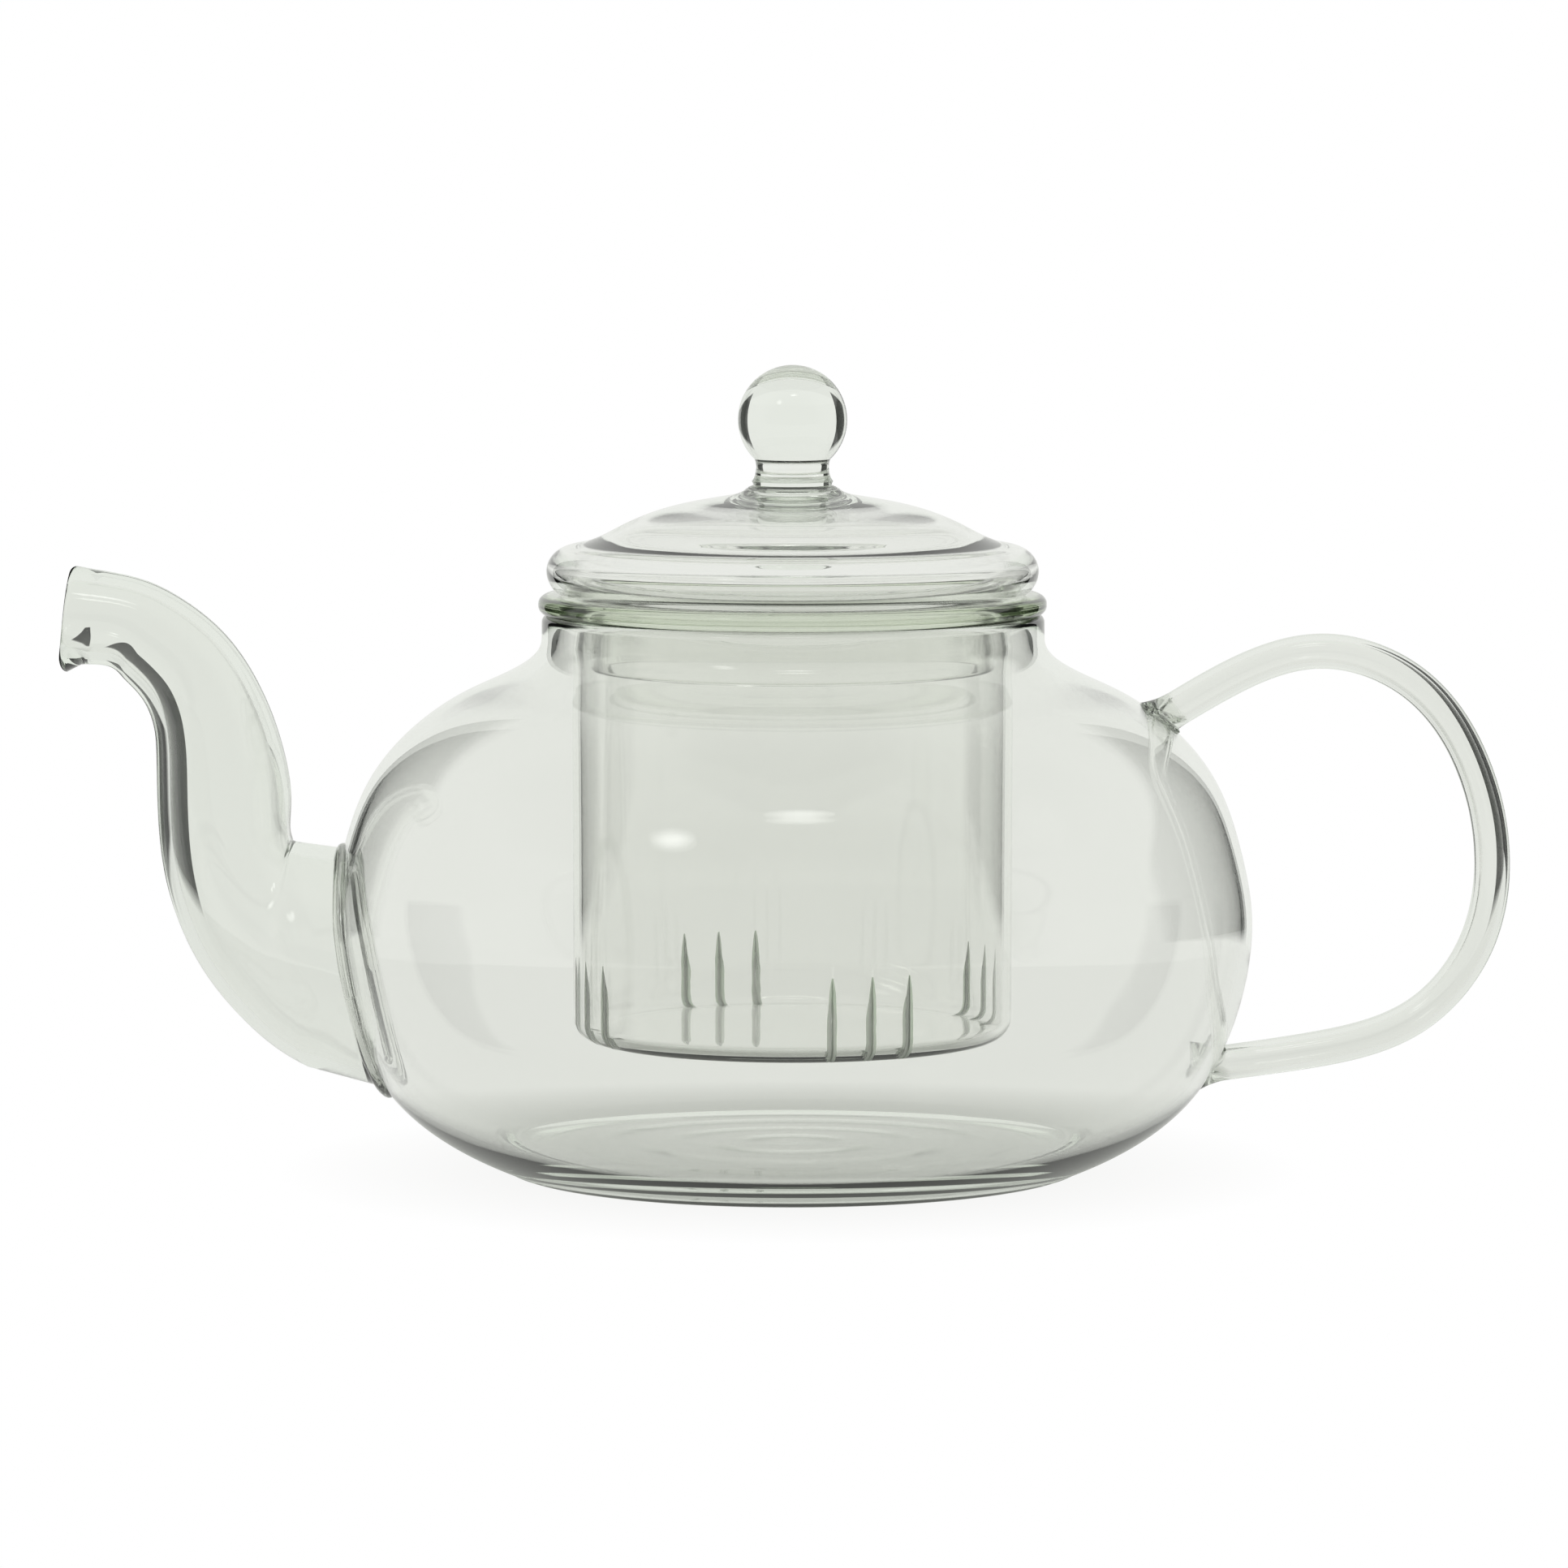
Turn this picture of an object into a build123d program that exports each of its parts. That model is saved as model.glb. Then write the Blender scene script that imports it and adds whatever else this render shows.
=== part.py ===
from build123d import *
import math
import os

# Lampworked borosilicate glass teapot with a lift-out glass infuser and a lift-off lid, in millimetres.
# +Z is up, the origin is the centre of the flat foot, the spout points to -X and the handle to +X.
# The pot is a blown bulb with a spout and a handle rod fused on to it with beads of glass.
# The infuser hangs in the pot's mouth by its flange, and the lid's skirt drops into the infuser.

# ---- the pot's bulb -----------------------------------------------------------------------------
bulb_radius = 76.0         # widest circle of the pot
widest_z = 41.0            # height of that circle
foot_radius = 46.0         # flat foot that the pot stands on
neck_radius = 41.4         # outside of the neck
neck_z = 88.0              # where the shoulder has become the straight neck
mouth_z = 92.0             # top of the pot's rim
bulb_wall = 1.8            # blown wall
neck_wall = 2.6            # the neck and its rim are thicker
floor_thickness = 2.6

# The outside between foot and neck, as radius and height.
belly_points = [(48.2, 0.7), (58.7, 6.0), (66.0, 12.2), (70.8, 19.5), (74.6, 30.0), (bulb_radius, widest_z)]
shoulder_points = [
    (bulb_radius, widest_z),
    (74.3, 52.4),
    (69.8, 64.6),
    (62.8, 73.0),
    (54.4, 78.8),
    (46.2, 82.7),
    (neck_radius, neck_z),
]
belly_start = (0.93, 0.37)  # direction of the outside as it leaves the foot

# ---- infuser ------------------------------------------------------------------------------------
infuser_radius = 36.2      # outside of the tube
infuser_wall = 1.5
infuser_z = 21.7           # underside of its floor
infuser_floor = 1.5
infuser_corner = 3.4       # outside corner between tube and floor
flange_radius = 41.9       # collar that hangs on the pot's rim
flange_thickness = 3.1
flange_edge = 1.4          # rounding of the collar's edge

slot_groups = 4
slots_per_group = 3
slot_pitch = 10.6          # degrees between neighbouring slots
slot_turn = -69.2          # degrees from +X to the middle slot of the first group
slot_width = 1.1           # cut by a thin wheel
slot_height = 14.0         # top of the slot above the underside of the floor, on the outside
slot_reach = 4.2           # how far each slot runs in under the floor
wheel_radius = 34.0

# ---- lid ----------------------------------------------------------------------------------------
brim_radius = 40.6         # widest circle of the lid's hollow rolled brim
brim_z = 99.4              # height of that circle
lid_wall = 1.5
skirt_radius = 33.4        # outside of the skirt
skirt_z = 81.2             # lower end of the skirt
stem_radius = 7.6          # solid neck below the knob, where it spreads over the dome
stem_ring = (6.5, 113.9)   # ring left round the stem by the tool that shaped it, radius and height
stem_waist = (6.1, 115.3)  # narrowest part of the stem
stem_z = 112.7             # where the stem meets the dome
knob_radius = 9.0
knob_z = 124.0             # centre of the knob
knob_cut_z = 117.3         # where the knob meets its stem

# The dome's outside between stem and brim, as radius and height, and its inside the other way.
dome_points = [(stem_radius, stem_z), (11.0, 111.4), (20.8, 109.4), (27.6, 106.8), (32.4, 104.4), (37.0, 103.1)]
dome_inner_points = [(32.0, 102.8), (26.9, 105.3), (20.1, 107.8), (11.0, 109.4), (0, 109.7)]
dome_end = (0.99, -0.12)   # direction of the outside where the brim begins

# ---- spout and handle ---------------------------------------------------------------------------
spout_wall = 2.1
hole_radius = 16.6         # opening blown through the bulb behind the spout
root_x = -72.5             # the spout's root circle: its centre, its tilt and its radius
root_z = 32.8
root_tilt = -8.0
root_radius = 20.2
weld_x = -71.9             # the bead of glass round the root follows the bulb's surface
weld_tilt = -10.9
weld_spread = 0.3
weld_bead = 2.9
lip_bead = 1.15            # half the thickness of the rolled lip at the spout's mouth
rod_radius = 2.95
rod_bore = 1.9            # the handle is drawn from thick tube
flare_radius = 7.4         # each end of the rod spreads in a cone, trimmed where it meets the bulb
flare_sink = 4.0           # the cone starts this far back inside the bulb
upper_flare = 11.5         # lengths of the two cones
lower_flare = 12.5
flare_step = 0.2           # step left between the cone's narrow end and the rod

seat_gap = 0.05            # air left between surfaces that rest on each other

# The spout from inside the bulb to its mouth: centre in X and Z, the direction it runs in as degrees
# above -X, and its outside radius. The top of the tube creases where it turns up from the root.
spout_sections = [
    (-66.0, 31.8, -9, 20.4),
    (root_x, root_z, root_tilt, root_radius),
    (-80.0, 35.2, -3, 18.8),
    (-85.9, 38.9, 12, 16.0),
    (-89.7, 43.8, 29, 14.0),
    (-92.5, 50.8, 51, 12.4),
    (-93.7, 59.3, 73, 11.4),
    (-94.3, 67.0, 83, 10.7),
    (-96.1, 75.2, 70, 9.6),
    (-100.3, 83.2, 52, 8.7),
    (-106.0, 88.3, 33, 8.1),
    (-112.0, 91.0, 15, 7.7),
    (-118.6, 91.7, 5, 8.1),
]

# Centre line of the handle rod, in X and Z, from the shoulder over the top to the belly.
handle_points = [
    (59.4, 73.9),
    (70.6, 80.5),
    (86.8, 85.8),
    (102.9, 80.2),
    (112.6, 66.2),
    (115.6, 51.0),
    (112.9, 36.9),
    (102.9, 25.1),
    (86.8, 19.7),
    (66.8, 16.8),
]

rim_z = mouth_z - neck_wall / 2
flange_z = mouth_z + seat_gap
flange_top_z = flange_z + flange_thickness
seat_z = flange_top_z + seat_gap
bore_radius = infuser_radius - infuser_wall


def at(x, z):
    """Point in the XZ plane."""
    return Vector(x, 0, z)


def curve(points, start, end):
    """Smooth curve through points in the XZ plane, leaving along start and arriving along end."""
    return Spline(*[at(x, z) for x, z in points], tangents=[at(*start), at(*end)])


def turned(*edges):
    """Solid made by turning a closed outline in the XZ plane about Z."""
    return revolve(make_face(Wire(edges)), Axis.Z)


def belly():
    return curve(belly_points, belly_start, (0, 1))


def shoulder():
    return curve(shoulder_points, (0, 1), (0, 1))


def inset(edge, wall, shares):
    """Points at a wall's depth behind an outside curve; wall is a function of the share along it."""
    points = []
    for share in shares:
        here, along = edge.position_at(share), edge.tangent_at(share)
        depth = wall(share)
        points.append((here.X - along.Z * depth, here.Z + along.X * depth))
    return points


def filled_bulb():
    """The bulb as if it were solid glass, used to trim everything that is fused on to it."""
    low, high = belly(), shoulder()
    foot_corner = ThreePointArc(at(foot_radius, 0), at(foot_radius + 1.2, 0.22), low @ 0)
    return turned(
        Line(at(0, 0), at(foot_radius, 0)),
        foot_corner,
        low,
        high,
        Line(high @ 1, at(neck_radius, rim_z)),
        Line(at(neck_radius, rim_z), at(0, rim_z)),
        Line(at(0, rim_z), at(0, 0)),
    )


def bulb_cavity():
    """The space inside the bulb, up through the neck."""
    inner_radius = neck_radius - neck_wall
    low = inset(belly(), lambda share: bulb_wall, [0.2, 0.4, 0.6, 0.8, 1])
    high = inset(shoulder(), lambda share: bulb_wall + (neck_wall - bulb_wall) * share**2, [0, 0.25, 0.5, 0.7, 0.85, 1])
    floor_curve = curve([(34.0, floor_thickness), *low], (1, 0), (0, 1))
    shoulder_curve = curve(high, (0, 1), (0, 1))
    return turned(
        Line(at(0, floor_thickness), floor_curve @ 0),
        floor_curve,
        shoulder_curve,
        Line(shoulder_curve @ 1, at(inner_radius, rim_z)),
        Line(at(inner_radius, rim_z), at(0, rim_z)),
        Line(at(0, rim_z), at(0, floor_thickness)),
    )


def section_plane(x, z, degrees, advance=0.0):
    """Plane across the spout, its normal running towards the mouth."""
    turn = math.radians(degrees)
    heading = Vector(-math.cos(turn), 0, math.sin(turn))
    return Plane(origin=at(x, z) + heading * advance, x_dir=(0, 1, 0), z_dir=heading)


def pot_bulb():
    """Blown bulb: flat foot, belly, shoulder and neck, open at the mouth and behind the spout."""
    half = neck_wall / 2
    rim = Pos(0, 0, rim_z) * Torus(neck_radius - half, half)
    hole = extrude(section_plane(root_x, root_z, root_tilt, -16) * Circle(hole_radius), 32)
    return filled_bulb() - bulb_cavity() + rim - hole


def spout_tube(shrink, overrun):
    """The spout as a solid rod, shrunk by a wall and carried past both ends by overrun."""
    centres = [at(x, z) for x, z, degrees, radius in spout_sections]
    centres[0] = section_plane(*spout_sections[0][:3], -overrun).origin
    centres[-1] = section_plane(*spout_sections[-1][:3], overrun).origin
    path = Spline(*centres)
    rings = []
    for centre, section in zip(centres, spout_sections):
        heading = path.tangent_at(path.param_at_point(centre))
        plane = Plane(origin=centre, x_dir=(0, 1, 0), z_dir=heading)
        rings.append(plane * Circle(section[3] - shrink))
    return sweep(rings, path=path, multisection=True)


def spout():
    """S-curved tapering tube with a rolled lip, ending on the bulb's outside."""
    x, z, degrees, radius = spout_sections[-1]
    lip = section_plane(x, z, degrees) * Torus(radius - spout_wall / 2, lip_bead)
    return spout_tube(0, 0) - spout_tube(spout_wall, 2) + lip - filled_bulb()


def spout_weld():
    """Bead of glass that runs round the spout's root, on the bulb's surface."""
    seam_aside = Rot(0, 0, 90)
    ring = seam_aside * Torus(root_radius + weld_spread, weld_bead)
    bead = section_plane(weld_x, root_z, weld_tilt) * ring
    return bead - filled_bulb() - spout_tube(0, 0)


def rod(path, radius):
    """Round bar along the handle's centre line, before its ends are trimmed."""
    return sweep(Plane(origin=path @ 0, z_dir=path % 0) * Circle(radius), path=path)


def flare(path, end, length):
    """Cone of glass round one end of the rod, widest where it meets the bulb."""
    heading = path % end if end == 0 else (path % end) * -1
    foot = Plane(origin=path @ end - heading * flare_sink, z_dir=heading)
    cone = Cone(flare_radius, rod_radius + flare_step, length, align=(Align.CENTER, Align.CENTER, Align.MIN))
    return foot * cone


def infuser_cup():
    """Straight glass tube with a rounded floor and four groups of cut slots."""
    arc_share = math.sqrt(0.5)
    inner_corner = infuser_corner - infuser_wall
    outer_mid = infuser_radius - infuser_corner * (1 - arc_share)
    inner_mid = bore_radius - inner_corner * (1 - arc_share)
    floor_z = infuser_z + infuser_floor
    cup = turned(
        Line(at(0, infuser_z), at(infuser_radius - infuser_corner, infuser_z)),
        ThreePointArc(
            at(infuser_radius - infuser_corner, infuser_z),
            at(outer_mid, infuser_z + infuser_corner * (1 - arc_share)),
            at(infuser_radius, infuser_z + infuser_corner),
        ),
        Line(at(infuser_radius, infuser_z + infuser_corner), at(infuser_radius, flange_z)),
        Line(at(infuser_radius, flange_z), at(bore_radius, flange_z)),
        Line(at(bore_radius, flange_z), at(bore_radius, floor_z + inner_corner)),
        ThreePointArc(
            at(bore_radius, floor_z + inner_corner),
            at(inner_mid, floor_z + inner_corner * (1 - arc_share)),
            at(bore_radius - inner_corner, floor_z),
        ),
        Line(at(bore_radius - inner_corner, floor_z), at(0, floor_z)),
        Line(at(0, floor_z), at(0, infuser_z)),
    )
    # The wheel's rim passes through the top of the slot on the tube and its inner end on the floor.
    half_chord = math.hypot(slot_reach, slot_height) / 2
    standoff = math.sqrt(wheel_radius**2 - half_chord**2) / (2 * half_chord)
    wheel_x = infuser_radius - slot_reach / 2 + slot_height * standoff
    wheel_z = infuser_z + slot_height / 2 - slot_reach * standoff
    wheel = Pos(wheel_x, 0, wheel_z) * Rot(90, 0, 0) * Cylinder(wheel_radius, slot_width)
    for group in range(slot_groups):
        for slot in range(slots_per_group):
            side = slot - (slots_per_group - 1) / 2
            turn = slot_turn + group * 360 / slot_groups + side * slot_pitch
            cup -= Rot(0, 0, turn) * wheel
    return cup


def infuser_flange():
    """Thick collar fused to the top of the tube."""
    ring = turned(
        Line(at(bore_radius, flange_z), at(flange_radius, flange_z)),
        Line(at(flange_radius, flange_z), at(flange_radius, flange_top_z)),
        Line(at(flange_radius, flange_top_z), at(bore_radius, flange_top_z)),
        Line(at(bore_radius, flange_top_z), at(bore_radius, flange_z)),
    )
    outer_edges = [e for e in ring.edges().filter_by(GeomType.CIRCLE) if e.radius > flange_radius - 0.1]
    return fillet(outer_edges, flange_edge)


def lid_dome():
    """Blown dome that folds under at its brim; the fold is hollow and rests on the flange."""
    fold_start = (-0.97, 0.24)
    outside = curve(dome_points, (0.7, -0.7), dome_end)
    brim = curve([dome_points[-1], (brim_radius, brim_z), (37.6, seat_z)], dome_end, (-1, 0))
    inside = curve(dome_inner_points, fold_start, (-1, 0))
    hollow = curve(
        [(36.8, seat_z + lid_wall), (brim_radius - lid_wall, brim_z), (36.2, 101.6), dome_inner_points[0]],
        (1, 0),
        fold_start,
    )
    inner_fold = at(skirt_radius, seat_z + lid_wall)
    return turned(
        Line(inside @ 1, at(0, stem_z)),
        Line(at(0, stem_z), outside @ 0),
        outside,
        brim,
        Line(brim @ 1, at(skirt_radius, seat_z)),
        Line(at(skirt_radius, seat_z), inner_fold),
        Line(inner_fold, hollow @ 0),
        hollow,
        inside,
    )


def lid_skirt():
    """Short tube that hangs from the fold into the infuser and keeps the lid centred."""
    top_z = seat_z + lid_wall
    inner = skirt_radius - lid_wall
    middle = skirt_radius - lid_wall / 2
    end_z = skirt_z + lid_wall / 2
    return turned(
        Line(at(skirt_radius, top_z), at(skirt_radius, end_z)),
        ThreePointArc(at(skirt_radius, end_z), at(middle, skirt_z), at(inner, end_z)),
        Line(at(inner, end_z), at(inner, top_z)),
        Line(at(inner, top_z), at(skirt_radius, top_z)),
    )


def knob_stem():
    """Solid neck between dome and knob, with the ring left by the tool that shaped it."""
    cut_radius = math.sqrt(knob_radius**2 - (knob_z - knob_cut_z) ** 2)
    side = curve([(stem_radius, stem_z), stem_ring, stem_waist, (cut_radius, knob_cut_z)], (-0.8, 0.6), (0.5, 0.86))
    return turned(
        Line(at(0, stem_z), at(stem_radius, stem_z)),
        side,
        Line(side @ 1, at(0, knob_cut_z)),
        Line(at(0, knob_cut_z), at(0, stem_z)),
    )


def lid_knob():
    """Solid glass ball, cut flat where the stem is fused on."""
    ball = Pos(0, 0, knob_z) * Sphere(knob_radius)
    below = Pos(0, 0, knob_cut_z - knob_radius) * Box(40, 40, 2 * knob_radius)
    return ball - below


def main():
    os.makedirs("parts", exist_ok=True)
    bulb = filled_bulb()
    path = Spline(*[at(x, z) for x, z in handle_points])
    bar = rod(path, rod_radius)
    parts = {
        "pot_bulb": pot_bulb(),
        "spout": spout(),
        "spout_weld": spout_weld(),
        "handle": bar - rod(path, rod_bore) - bulb,
        "handle_top_weld": flare(path, 0, upper_flare) - bulb - bar,
        "handle_bottom_weld": flare(path, 1, lower_flare) - bulb - bar,
        "infuser_cup": infuser_cup(),
        "infuser_flange": infuser_flange(),
        "lid_dome": lid_dome(),
        "lid_skirt": lid_skirt(),
        "knob_stem": knob_stem(),
        "lid_knob": lid_knob(),
    }
    for name, part in parts.items():
        print(name, len(part.solids()), "solid", round(part.volume / 1000, 2), "cm3")
        export_step(part, f"parts/{name}.step")


main()
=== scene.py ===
import math

import bmesh
import bpy
import numpy as np
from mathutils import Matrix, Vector, noise


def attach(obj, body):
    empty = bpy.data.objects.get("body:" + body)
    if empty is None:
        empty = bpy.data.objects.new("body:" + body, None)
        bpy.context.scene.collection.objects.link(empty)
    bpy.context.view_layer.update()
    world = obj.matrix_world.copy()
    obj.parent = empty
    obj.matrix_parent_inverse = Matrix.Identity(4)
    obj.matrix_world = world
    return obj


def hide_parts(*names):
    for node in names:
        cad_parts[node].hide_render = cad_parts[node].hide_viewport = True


# Lampworked glass teapot with lift-out infuser and lid. The pieces are written in mm and mm() turns
# them into metres; the studio at the end is in metres.

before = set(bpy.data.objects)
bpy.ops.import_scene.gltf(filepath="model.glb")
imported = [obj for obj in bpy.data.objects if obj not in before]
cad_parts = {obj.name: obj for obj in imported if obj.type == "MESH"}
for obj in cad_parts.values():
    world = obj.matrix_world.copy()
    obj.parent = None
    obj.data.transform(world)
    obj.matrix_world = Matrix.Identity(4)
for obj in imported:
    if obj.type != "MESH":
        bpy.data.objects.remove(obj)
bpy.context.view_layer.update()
print("frame loaded:", len(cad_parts), "nodes")


def mm(value):
    return value * 0.001


def unit(direction):
    d = np.array(direction, float)
    return d / np.linalg.norm(d)


def smoothCurve(points, start, end, steps):
    # clamped cubic spline through points, spaced by chord length, with its tangents
    p = np.array(points, float)
    gap = np.linalg.norm(np.diff(p, axis=0), axis=1)
    last = len(p) - 1
    system = np.zeros((last + 1, last + 1))
    wanted = np.zeros_like(p)
    system[0, 0] = system[last, last] = 1
    wanted[0], wanted[last] = unit(start), unit(end)
    for i in range(1, last):
        before, after = gap[i - 1], gap[i]
        system[i, i - 1], system[i, i], system[i, i + 1] = after, 2 * (before + after), before
        wanted[i] = 3 * (after * (p[i] - p[i - 1]) / before + before * (p[i + 1] - p[i]) / after)
    slope = np.linalg.solve(system, wanted)
    knots = np.concatenate([[0], np.cumsum(gap)])
    line, along = [], []
    for t in np.linspace(0, knots[-1], steps + 1):
        i = min(int(np.searchsorted(knots, t, side="right")) - 1, last - 1)
        h = gap[i]
        u = (t - knots[i]) / h
        a, b, m, n = p[i], p[i + 1], slope[i] * h, slope[i + 1] * h
        line.append((2 * u**3 - 3 * u**2 + 1) * a + (u**3 - 2 * u**2 + u) * m
                    + (3 * u**2 - 2 * u**3) * b + (u**3 - u**2) * n)
        along.append(unit((6 * u**2 - 6 * u) * a + (3 * u**2 - 4 * u + 1) * m
                          + (6 * u - 6 * u**2) * b + (3 * u**2 - 2 * u) * n))
    return np.array(line), np.array(along)


def curvePoints(points, start, end, steps):
    return [tuple(p) for p in smoothCurve(points, start, end, steps)[0]]


def arc(centre, radius, fromDeg, toDeg, steps):
    turns = np.radians(np.linspace(fromDeg, toDeg, steps + 1))
    return [(centre[0] + radius * math.cos(t), centre[1] + radius * math.sin(t)) for t in turns]


def addPiece(name, verts, faces, body, node, slot, materials, faceMaterials=None, sharp=None):
    # verts in mm; the finished mesh rides its body and stands for its CAD node
    mesh = bpy.data.meshes.new(name)
    mesh.from_pydata([tuple(mm(c) for c in v) for v in verts], [], faces)
    if faceMaterials:
        mesh.polygons.foreach_set("material_index", faceMaterials)
    for material in materials:
        mesh.materials.append(material)
    work = bmesh.new()
    work.from_mesh(mesh)
    bmesh.ops.recalc_face_normals(work, faces=work.faces)
    work.to_mesh(mesh)
    work.free()
    mesh.shade_smooth()
    if sharp:
        mesh.set_sharp_from_angle(angle=math.radians(sharp))
    piece = bpy.data.objects.new(name, mesh)
    bpy.context.scene.collection.objects.link(piece)
    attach(piece, body)
    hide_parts(node)


def wobble(x, y, z, size, amount, seed):
    # slow unevenness of hand-blown glass, in mm
    return amount * noise.noise(Vector((x / size + seed, y / size - seed, z / size + 2 * seed)))


def lathe(profile, segments, uneven=0.0, unevenSize=60.0, seed=0.0):
    # turns a closed section about Z; points on the axis become one vertex
    verts, faces, rings = [], [], []
    for r, z in profile:
        if r < 1e-6:
            rings.append([len(verts)])
            verts.append((0, 0, z))
            continue
        ring = []
        for s in range(segments):
            turn = 2 * math.pi * s / segments
            x, y = r * math.cos(turn), r * math.sin(turn)
            grow = 1 + wobble(x, y, z, unevenSize, uneven, seed) / max(r, 10)
            ring.append(len(verts))
            verts.append((x * grow, y * grow, z))
        rings.append(ring)
    closed = len(rings[0]) > 1 and len(rings[-1]) > 1
    pairs = list(zip(rings, rings[1:])) + ([(rings[-1], rings[0])] if closed else [])
    for a, b in pairs:
        if len(a) == 1 and len(b) == 1:
            continue
        for s in range(segments):
            n = (s + 1) % segments
            if len(a) == 1:
                faces.append((a[0], b[n], b[s]))
            elif len(b) == 1:
                faces.append((a[s], a[n], b[0]))
            else:
                faces.append((a[s], a[n], b[n], b[s]))
    return verts, faces


def bridge(rings):
    # joins each ring of points to the next, and the last back to the first
    around = len(rings[0])
    verts = [tuple(p) for ring in rings for p in ring]
    faces = []
    for i in range(len(rings)):
        j = (i + 1) % len(rings)
        for k in range(around):
            n = (k + 1) % around
            faces.append((i * around + k, i * around + n, j * around + n, j * around + k))
    return verts, faces


def feed(tree, value, socket):
    # another node's output is linked to the socket, a plain value is set on it
    if isinstance(value, bpy.types.NodeSocket):
        tree.links.new(value, socket)
    else:
        socket.default_value = value


def mathNode(tree, operation, *values):
    node = tree.nodes.new("ShaderNodeMath")
    node.operation = operation
    for socket, value in zip(node.inputs, values):
        feed(tree, value, socket)
    return node.outputs[0]


def noiseNode(tree, vector, scale, detail):
    node = tree.nodes.new("ShaderNodeTexNoise")
    feed(tree, vector, node.inputs["Vector"])
    feed(tree, scale, node.inputs["Scale"])
    feed(tree, detail, node.inputs["Detail"])
    return node.outputs["Fac"]


def mapRange(tree, value, low, high, interpolation="LINEAR"):
    node = tree.nodes.new("ShaderNodeMapRange")
    node.interpolation_type = interpolation
    feed(tree, value, node.inputs["Value"])
    feed(tree, low, node.inputs["From Min"])
    feed(tree, high, node.inputs["From Max"])
    return node.outputs[0]


def colourMix(tree, factor, a, b):
    node = tree.nodes.new("ShaderNodeMix")
    node.data_type = "RGBA"
    feed(tree, factor, node.inputs["Factor"])
    feed(tree, a, node.inputs[6])  # A and B as colours
    feed(tree, b, node.inputs[7])
    return node.outputs[2]


def newGroup(name, inputs, outputs):
    group = bpy.data.node_groups.new(name, "ShaderNodeTree")
    for label, kind, value in inputs:
        socket = group.interface.new_socket(name=label, in_out="INPUT", socket_type=kind)
        socket.default_value = value
    for label, kind in outputs:
        group.interface.new_socket(name=label, in_out="OUTPUT", socket_type=kind)
    return group, group.nodes.new("NodeGroupInput"), group.nodes.new("NodeGroupOutput")


def buildBlownWaves():
    # rings left by turning on the pipe plus slow thick and thin places
    g, inp, out = newGroup("BlownWaves", [
        ("Ring Scale", "NodeSocketFloat", 90.0),
        ("Ring Amount", "NodeSocketFloat", 0.5),
        ("Swell Scale", "NodeSocketFloat", 14.0),
        ("Swell Amount", "NodeSocketFloat", 0.5),
    ], [("Height", "NodeSocketFloat")])
    coord = g.nodes.new("ShaderNodeTexCoord")
    squeeze = g.nodes.new("ShaderNodeMapping")
    feed(g, (0.03, 0.03, 1.0), squeeze.inputs["Scale"])  # stretched round the axis
    feed(g, coord.outputs["Object"], squeeze.inputs["Vector"])
    rings = noiseNode(g, squeeze.outputs[0], inp.outputs["Ring Scale"], 3.0)
    swell = noiseNode(g, coord.outputs["Object"], inp.outputs["Swell Scale"], 1.0)
    total = mathNode(g, "ADD", mathNode(g, "MULTIPLY", rings, inp.outputs["Ring Amount"]),
                     mathNode(g, "MULTIPLY", swell, inp.outputs["Swell Amount"]))
    feed(g, total, out.inputs["Height"])
    return g


def buildHandledFilm():
    # faint wipe marks and dust, only where the noise is high: between them the base shows
    g, inp, out = newGroup("HandledFilm", [
        ("Base", "NodeSocketFloat", 0.0),
        ("Film", "NodeSocketFloat", 0.02),
        ("Scale", "NodeSocketFloat", 22.0),
    ], [("Roughness", "NodeSocketFloat")])
    coord = g.nodes.new("ShaderNodeTexCoord")
    cloud = noiseNode(g, coord.outputs["Object"], inp.outputs["Scale"], 4.0)
    marks = mathNode(g, "MULTIPLY", mapRange(g, cloud, 0.52, 0.74), inp.outputs["Film"])
    feed(g, mathNode(g, "ADD", marks, inp.outputs["Base"]), out.inputs["Roughness"])
    return g


def buildGlassTint():
    # colour drifts between two close tints over the piece
    g, inp, out = newGroup("GlassTint", [
        ("Clear", "NodeSocketColor", (1, 1, 1, 1)),
        ("Deep", "NodeSocketColor", (0.9, 0.95, 0.9, 1)),
        ("Scale", "NodeSocketFloat", 18.0),
    ], [("Color", "NodeSocketColor")])
    coord = g.nodes.new("ShaderNodeTexCoord")
    drift = noiseNode(g, coord.outputs["Object"], inp.outputs["Scale"], 2.0)
    colour = colourMix(g, drift, inp.outputs["Clear"], inp.outputs["Deep"])
    feed(g, colour, out.inputs["Color"])
    return g


blownWaves = buildBlownWaves()
handledFilm = buildHandledFilm()
glassTint = buildGlassTint()


def placeGroup(tree, group, **values):
    node = tree.nodes.new("ShaderNodeGroup")
    node.node_tree = group
    for label, value in values.items():
        node.inputs[label.replace("_", " ")].default_value = value
    return node.outputs[0]


glassLook = {
    "ior": 1.47,
    "clearTint": (0.967, 0.968, 0.960, 1),
    "deepTint": (0.952, 0.955, 0.944, 1),
    "solidClear": (0.990, 0.992, 0.985, 1),  # for knob and flange, where thickness gives the colour
    "solidDeep": (0.976, 0.980, 0.968, 1),
    "absorbColour": (0.55, 0.74, 0.50, 1),
    "absorbDensity": 7.0,
    "flangeAbsorb": (0.50, 0.65, 0.34, 1),
    "groundClear": (0.96, 0.98, 0.93, 1),
    "groundDeep": (0.90, 0.93, 0.86, 1),
    "groundRoughness": 0.50,
    "groundTransmission": 0.6,
}


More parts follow.
